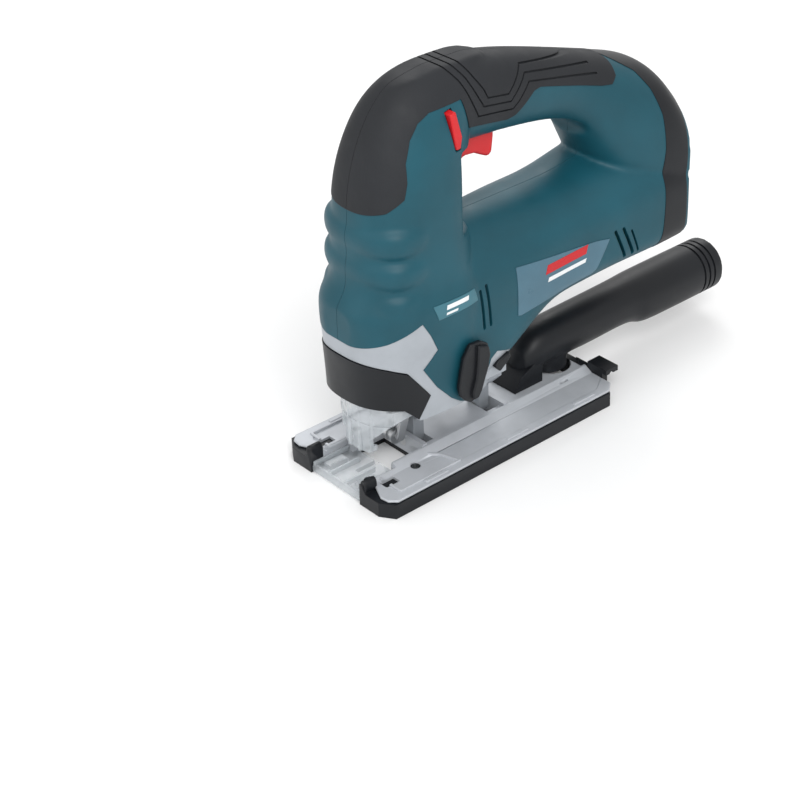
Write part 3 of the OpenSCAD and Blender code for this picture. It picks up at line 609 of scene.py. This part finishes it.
grooves = [[(26, 240), (33, 216), (42, 203), (48, 190), (51.5, 183), (75, 179.5), (79, 182.5), (86.5, 190),
            (134, 180.5)],
           [(31, 240), (38, 216), (46.5, 203), (52, 192), (55, 187), (73.5, 184), (78, 188), (85, 194.5),
            (132, 185.5)],
           [(36, 240), (43, 216), (51, 203), (56, 195), (58, 190.5), (72, 188.2), (77, 192.5), (84, 198.6),
            (130, 190)]]
for number, points in enumerate(grooves):
    cut(grip, cut(ribbon(f"groove_{number}", points), core, keep=True))
cut(grip, swell(copy(solid, "grip_hollow"), -RUBBER_WALL))
cut(grip, through("lock_way", lock_view))
cut(body, cut(copy(skin, "grip_room"), through("grip_view", grip_view), "INTERSECT"))
print("grip:", len(grip.data.polygons), "faces")

# %% [markdown]
# ## Name panel, small plate and dock band
# The name panel and the small plate are inlays that follow the wall, and plain bars stand for their print. The
# black band is the battery dock's
# outer sleeve: it wraps the rear of the housing, curves forward at the top, and a thin strip of the shell's
# colour closes it. Behind it the face is open for the battery, with a rail on each side.

# %% Inlays
INLAY_PROUD, PRINT_PROUD = 0.25, 0.34
label_skin = swell(copy(solid, "label_skin"), INLAY_PROUD)
panel_view = [(65.2, 101), (65, 74.8), (67, 74.2), (117.4, 78.6), (120.4, 80.2), (129, 95.2), (120, 96.8)]
plate_view = [(9.3, 101.2), (37.2, 100.4), (39, 93.4), (12, 93.4)]
inlays = {}
for name, view, finish in (("label", panel_view, panel), ("badge", plate_view, plate)):
    for side, where in SIDES:
        cut(body, flank(name + "_room", view, side, 26))
        inlay = cut(copy(label_skin, f"{name}_{where}_inlay"), flank("view", view, side, 26), "INTERSECT")
        dress(inlay, finish)
        inlays[inlay.name] = inlay
bar_views = (("title", [(84, 90.6), (112.5, 92.4), (114, 97.2), (85.5, 95.6)], red),
             ("line", [(85.5, 86), (112, 87.6), (112.8, 89.8), (86.3, 88.4)], white),
             ("stripe", [(17, 97.2), (31.6, 97), (32.2, 99.2), (17.6, 99.4)], white),
             ("dash", [(16.6, 94.6), (24, 94.5), (24.3, 95.7), (16.9, 95.8)], white))
marks = []
for name, view, finish in bar_views:
    for side, where in SIDES:
        mark = swell(copy(solid, f"{name}_mark_{where}"), PRINT_PROUD)
        cut(mark, flank("view", view, side, 29), "INTERSECT")
        dress(mark, finish)
        marks.append(mark)
print(sorted(inlays), len(marks), "plain printed bars")

# %% Dock band
band_view = [(147, 184), (152, 180.5), (160, 174.5), (164.8, 165.5), (168, 152), (169.2, 133), (168.6, 110),
             (167.2, 88), (165.4, 76), (164, 60), (184, 60), (184, 200), (147, 200)]
BAND_END, BEHIND, BAND_PROUD = 184, 200, 0.2
dock = cut(swell(copy(solid, "dock_sleeve"), BAND_PROUD), through("band_view", band_view), "INTERSECT")
rim = cut(copy(solid, "rim_strip"), block("rim_view", (BAND_END, -WIDE, 60), (BEHIND, WIDE, 200)), "INTERSECT")
cut(body, through("band_room", band_view))
cut(body, block("rim_room", (BAND_END - 0.1, -WIDE, 60), (BEHIND, WIDE, 200)))
for piece in (dock, rim):
    cut(piece, block("recess", (177, -29, 77), (BEHIND, 29, 146)))
cut(dock, block("electronics_room", (140, -29, 77), (173, 29, 150)))
for side in (-1, 1):
    cut(dock, side_block("rail", side, (180.5, 25, 78), (183.6, 30, 136)), "UNION")
    cut(dock, side_block("slot_line", side, (176.4, 36, 95), (177.4, WIDE, 121)))
for piece in (dock, rim):
    cut(piece, dial_way())
print("dock band:", len(dock.data.polygons), "faces")


# %% [markdown]
# ## Painted gear head and release band
# The metal head continues the shell's shape below its zigzag edge, a hair deeper, so it is cut from the same
# body with the same outline. It stays clear of the sole, which tilts below it. The black release band is a belt
# around it. The belt is its own lever, so it gets its own skin and soft edges, with a gap around it.

# %% Head and band
HEAD_SUNK, HEAD_WALL, BELT_PROUD, BELT_WALL, BELT_GAP = 0.3, 2.6, 0.25, 2.0, 0.4
head = cut(swell(copy(solid, "head_skin"), -HEAD_SUNK), through("below", below_view), "INTERSECT")
cut(head, through("head_view", [(-40, 30), (-40, 110), (63, 110), (66.5, 41), (64, 30)]), "INTERSECT")
band_side = [(-40, 76), (-25, 75.4), (-14, 71.8), (-5.4, 68.4), (6.9, 53), (0.3, 41.2), (-6.7, 47.8),
             (-24, 50), (-40, 50.5)]
belt = cut(swell(copy(solid, "belt"), BELT_PROUD), through("band_side", band_side), "INTERSECT")
apply(belt, "BEVEL", width=0.5 * MM, segments=2, limit_method="ANGLE", angle_limit=radians(50))
cut(belt, swell(copy(solid, "belt_hollow"), -BELT_WALL))
cut(head, swell(copy(solid, "head_hollow"), -HEAD_WALL))
gap_side = [(x + (BELT_GAP if x > -30 else 0), z + (BELT_GAP if z > 55 else -BELT_GAP)) for x, z in band_side]
cut(head, through("band_gap", gap_side))
cut(head, through("below_band", [(-40, 20), (-40, 60), (-20, 60), (0, 56), (1.2, 40), (2.4, 36), (2.4, 20)]))
tilt_room = [(-60, 40), (-28.5, 40), (-22, 36), (-8, 24), (8, 24), (22, 36), (28.5, 40), (60, 40),
             (60, 120), (-60, 120)]
cut(head, outline("tilt_room", tilt_room, -40, 80, view="front"), "INTERSECT")
cut(head, block("open_floor", (-20, -27.5, 20), (63, 27.5, 40.5)))
print("head:", len(head.data.polygons), "faces; band:", len(belt.data.polygons), "faces")

# %% [markdown]
# ## Left and right halves
# The housing is moulded in two halves that meet on the middle plane, which shows as a fine line along the back
# of the handle. The shell and the grip are copied, and each copy is bisected, which keeps one side and fills
# the cut, a tenth of a millimetre short of the middle.

# %% Split at the middle
HALF_SEAM = 0.1


def half(piece, name, side):
    part = pick(copy(piece, name))
    bpy.ops.object.mode_set(mode="EDIT")
    bpy.ops.mesh.select_all(action="SELECT")
    bpy.ops.mesh.bisect(plane_co=(0, side * HALF_SEAM * MM, 0), plane_no=(0, side, 0), clear_inner=True,
                        use_fill=True)
    bpy.ops.object.mode_set(mode="OBJECT")
    return part


def hang(piece, body, angle=32):
    """The piece moves with a body; edges sharper than the angle stay crisp."""
    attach(piece, body)
    pick(piece)
    bpy.ops.object.shade_smooth_by_angle(angle=radians(angle))


shells = {}
for source, stem, finish in ((body, "housing", teal), (grip, "grip", rubber)):
    for side, where in SIDES:
        part = half(source, f"{stem}_{where}_shell", side)
        dress(part, finish)
        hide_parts(f"{stem}_{where}")
        shells[part.name] = part
    bpy.data.objects.remove(source)
for name, inlay in inlays.items():
    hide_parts(name.replace("_inlay", ""))
    shells[name] = inlay
for piece, name, finish in ((dock, "battery_dock", black), (rim, "dock_rim", teal)):
    dress(piece, finish)
    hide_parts(name)
    shells[piece.name] = piece
for piece in list(shells.values()) + marks:
    hang(piece, "housing")
for leftover in (solid, skin, core, label_skin):
    bpy.data.objects.remove(leftover)
print({name: len(piece.data.polygons) for name, piece in shells.items()})

# %% [markdown]
# ## Hang new pieces on the right bodies
# Each new piece stands for an engineering part and moves with that part's body. One helper gives it a finish,
# hides the part that it replaces and hangs it on the body, which the record looks up.

# %% Helper for new pieces
body_of = {node: body for body, nodes in frame["record"]["behaviour"]["bodies"].items() for node in nodes}


def place(piece, finish, node, replaces=True, angle=32):
    dress(piece, finish)
    if replaces:
        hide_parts(node)
    hang(piece, body_of[node], angle)
    print(piece.name, "on", body_of[node], "with", len(piece.data.polygons), "faces")


def soften(piece, width, segments=3):
    """Rolls over every edge that is sharper than a slight bend."""
    return apply(piece, "BEVEL", width=width * MM, segments=segments, limit_method="ANGLE",
                 angle_limit=radians(28))


def part_copy(node, name):
    """A copy of an engineering part with its loose triangles merged."""
    piece = pick(copy(frame["nodes"][node], name))
    bpy.ops.object.mode_set(mode="EDIT")
    bpy.ops.mesh.select_all(action="SELECT")
    bpy.ops.mesh.remove_doubles(threshold=0.000002)
    bpy.ops.object.mode_set(mode="OBJECT")
    return piece


place(head, silver, "gearcase", replaces=False)
place(belt, black, "release_band")

# %% [markdown]
# ## Trigger, lock bar, lever and blower slide
# Switches are what fingers touch, so every edge is rolled over. Their side views are outlines pulled across the
# handle, with a bevel that is as wide as the edge is soft. The stroke lever gets a waist and a raised rib.

# %% Switches
trigger_view = [(48, 156.8), (51.3, 158.8), (58, 158.2), (62.5, 155.8), (67, 153.6), (69.6, 155.4), (70.6, 164),
                (70.6, 174), (48, 174)]
trigger = outline("trigger_blade", trigger_view, -9, 9)
soften(trigger, 1.6, 4)
cut(trigger, block("trigger_foot", (46.5, -10, 172), (72, 10, 174.6)), "UNION")
place(trigger, red, "trigger")
lock_side = [(29, 192), (32.5, 193), (36.5, 179), (35.5, 173), (32.5, 173), (30.5, 184)]
lock = outline("lock_blade", lock_side, -24.2, 24.2)
place(soften(lock, 0.8), red, "lock_bar")

lever_side = [(29.4, 74), (36, 73.6), (40.7, 70.6), (42, 65), (40.6, 58), (38.5, 53), (36, 46), (33.7, 42),
              (29, 41.2), (25.6, 43.5), (22.6, 47), (21.6, 52), (23, 59.6), (25, 68)]
lever = outline("lever_plate", lever_side, -36.2, -33.6)
soften(lever, 0.7)
rib_side = [(33, 72.6), (40, 70), (41, 65), (39.6, 58), (37.6, 53), (35.2, 46.5), (33, 43), (29.6, 43),
            (29, 47), (31.4, 54), (32.4, 62)]
cut(lever, soften(outline("lever_rib", rib_side, -38, -35.6), 0.9), "UNION")
place(lever, black, "orbit_lever")

blower_side = [(49.4, 51.2), (52, 53.6), (59.6, 56), (60.2, 53), (57, 50), (53, 47.2)]
blower = outline("blower_slide", blower_side, -32, -29)
place(soften(blower, 0.7), black, "blower_switch")

# %% [markdown]
# ## Clear chip guard
# The guard is a clear hood in front of the blade. Clear plastic shows as bright edges and ribs, so those are
# modelled: a tapered shell, a thick foot, upright ribs and a shelf. The sole can tilt, so the hood narrows
# downwards like the engineering part.

# %% Chip guard
GUARD_X, RIB_CIRCLE = 8, 24.3


def cone(name, low, high, low_radius, high_radius):
    bpy.ops.object.select_all(action="DESELECT")
    bpy.ops.mesh.primitive_cone_add(vertices=96, radius1=low_radius * MM, radius2=high_radius * MM,
                                    depth=(high - low) * MM, location=(GUARD_X * MM, 0, (low + high) / 2 * MM))
    return end(begin(name))


guard = cone("guard_hood", 18.2, 50, 23.6, 25.9)
cut(guard, cone("inside", 17, 51, 21.9, 24.3))
foot = cone("foot", 18.2, 21.4, 24, 23.7)
cut(guard, cut(foot, cone("foot_inside", 17, 24, 20.2, 20.2)), "UNION")
shelf = cone("shelf", 34, 35.2, 25.4, 25.4)
cut(guard, cut(shelf, cone("shelf_inside", 30, 40, 23, 23)), "UNION")
for degrees in (-74, -52, -26, -9, 9, 26, 52, 74):
    spot = (GUARD_X - RIB_CIRCLE * cos(radians(degrees)), RIB_CIRCLE * sin(radians(degrees)))
    cut(guard, rod("rib", (*spot, 18.6), (*spot, 44), 1.25, 16), "UNION")
hood_front = [(-9.5, 18), (9.5, 18), (9.5, 25.5), (26, 42.5), (26, 43.8), (18, 43.8), (18, 60), (-18, 60),
              (-18, 43.8), (-26, 43.8), (-26, 42.5), (-9.5, 25.5)]
cut(guard, outline("narrow", hood_front, -40, 5.6, view="front"), "INTERSECT")
place(guard, glassy, "chip_guard", angle=9)

# %% [markdown]
# ## Pressed sole, shoe and screws
# The sole is a pressed sheet: its edge rolls over the plastic shoe, a raised line stiffens the front corners and
# a slot takes the guide rail's clamp. The engineering plate is copied and these pressings are joined to it.

# %% Sole plate
plate_part = part_copy("base_plate", "pressed_sole")
rolled_edge = [(-20, 17.4), (-23.6, 24), (-27.3, 32), (-26.6, 37), (-23, 40.3), (124, 40.3), (130, 35.4),
               (130, 28), (120, 34.6), (-16, 34.6), (-19, 30), (-20, 20)]
ridge_outside = [(-18.4, 18.6), (7, 17.6), (14, 18.4), (19.5, 24), (22.6, 35.6), (-17.4, 35.6)]
ridge_inside = [(-16.6, 20), (6.6, 19), (13.2, 19.8), (18, 25), (20.6, 34.4), (-16, 34.4)]


def from_above(name, points, side, low, high):
    """A plate on one side of the sole; its outline is seen from above."""
    return outline(name, [(x, side * y) for x, y in points], low, high, view="plan")


for side in (-1, 1):
    cut(plate_part, soften(from_above("rolled_edge", rolled_edge, side, 8.1, 9.6), 0.6), "UNION")
    ridge = from_above("ridge", ridge_outside, side, 8.6, 10.4)
    cut(ridge, from_above("ridge_inside", ridge_inside, side, 8, 12))
    cut(plate_part, soften(ridge, 0.4, 2), "UNION")
    for start in (-3, 52, 100):
        bar = side_block("bar", side, (start, 36.2, 9), (start + 15, 38.4, 10.2))
        cut(plate_part, soften(bar, 0.4, 2), "UNION")
    cut(plate_part, side_block("clamp_slot", side, (-20, 22.4, 2.0), (-11, 27.6, 14)))
place(plate_part, sole_steel, "base_plate", angle=9)
for side, where in SIDES:
    head_screw = rod(f"shoe_screw_{where}", (3, side * 23, 6.4), (3, side * 23, 9.3), 2.5, 32)
    cut(head_screw, rod("socket", (3, side * 23, 8), (3, side * 23, 10), 1.2, 6))
    place(soften(head_screw, 0.3, 2), dark_steel, "base_plate", replaces=False)

# %% Shoe with its front caps
shoe = part_copy("sole_shoe", "plastic_shoe")
cap_slope = [(23.4, 7.9), (44, 7.9), (44, 20), (21.6, 20), (21.6, 10.6)]
arch = [(19, 8), (19, 12), (19.4, 13.4), (20.4, 14.3), (21.6, 14.4), (22.8, 13.6), (23.4, 12), (23.4, 8)]


def from_front(name, points, side, near, far):
    """A plate on one side of the shoe; its outline is seen from the front."""
    return outline(name, [(side * y, z) for y, z in points], near, far, view="front")


for side in (-1, 1):
    cut(shoe, from_front("cap_slope", cap_slope, side, -31, -21.9))
    cut(shoe, soften(from_front("arch", arch, side, -29.4, -22.1), 0.5, 2), "UNION")
for side in (-1, 1):
    cut(shoe, side_block("slot_floor", side, (-19.2, 22.2, 2), (-11.2, 27.4, 8)), "UNION")
place(shoe, black, "sole_shoe")

# %% [markdown]
# ## Splinter insert
# The clear insert around the blade is a thin tray between the caps. Its rims and ribs catch the light, so they
# are raised from the engineering part's floor.

# %% Splinter insert
tray = part_copy("splinter_insert", "splinter_tray")
tray_ribs = ((17.2, 18.8, -28.8, -6.4), (5.4, 6.6, -28.8, -9), (9.6, 10.6, -24, -14.2))
for side in (-1, 1):
    for inner, outer, front_x, back_x in tray_ribs:
        rib = side_block("rib", side, (front_x, inner, 3), (back_x, outer, 6.4))
        cut(tray, soften(rib, 0.4, 2), "UNION")
cut(tray, soften(block("front_rim", (-28.9, -18.8, 2), (-27.4, 18.8, 5)), 0.4, 2), "UNION")
place(tray, glassy, "splinter_insert", angle=9)

# %% [markdown]
# ## Dust spout
# The spout is one blown tube: it rises from the sole, bends and runs back to the hose socket. A loft for the
# tube and one for the bend are joined, remeshed and smoothed, so that the bend flows. Grooves grip the hose.

# %% Spout
SPOUT_Z, SPOUT_END, HOSE_RADIUS, AIR_RADIUS = 26.7, 242.2, 12.5, 10.2
spout = loft("spout", "x", 0.98, 0.98, [
    (93, 15, 30, 8), (99, 15.5, 37, 11), (108, 16.6, 40, 12.4), (125, 15.6, 40.6, 12.8), (142, 15.4, 40.8, 13),
    (158, 16.2, 41, 13), (174, 16.2, 41.3, 13.2), (180, 12.8, 41.5, 14.6), (187, 11.8, 41.7, 15),
    (215, 11.7, 41.7, 15), (243, 11.7, 41.7, 15)], rounds=8)
bend = loft("bend", "z", 0.98, 0.98, [(11, 92, 108, 8), (20, 90, 110, 10), (29, 92, 114, 11), (35, 98, 118, 9)],
            rounds=8)
cut(spout, bend, "UNION")
cut(spout, rod("spout_foot", (118, 0, 10.3), (118, 0, 26), 10), "UNION")
apply(spout, "REMESH", mode="VOXEL", voxel_size=0.8 * MM)
apply(spout, "SMOOTH", factor=0.5, iterations=12)
cut(spout, block("square_end", (SPOUT_END, -20, 0), (250, 20, 50)))
cut(spout, rod("hose_bore", (184, 0, SPOUT_Z), (250, 0, SPOUT_Z), HOSE_RADIUS, 96))
cut(spout, rod("air_way", (112, 0, 27), (190, 0, 27), AIR_RADIUS, 64))
for x in (227, 231, 235):
    groove = rod("groove", (x, 0, SPOUT_Z), (x + 1.5, 0, SPOUT_Z), 18, 96)
    cut(spout, cut(groove, rod("groove_core", (x - 1, 0, SPOUT_Z), (x + 3, 0, SPOUT_Z), 14.2, 96)))
place(spout, black, "dust_spout")
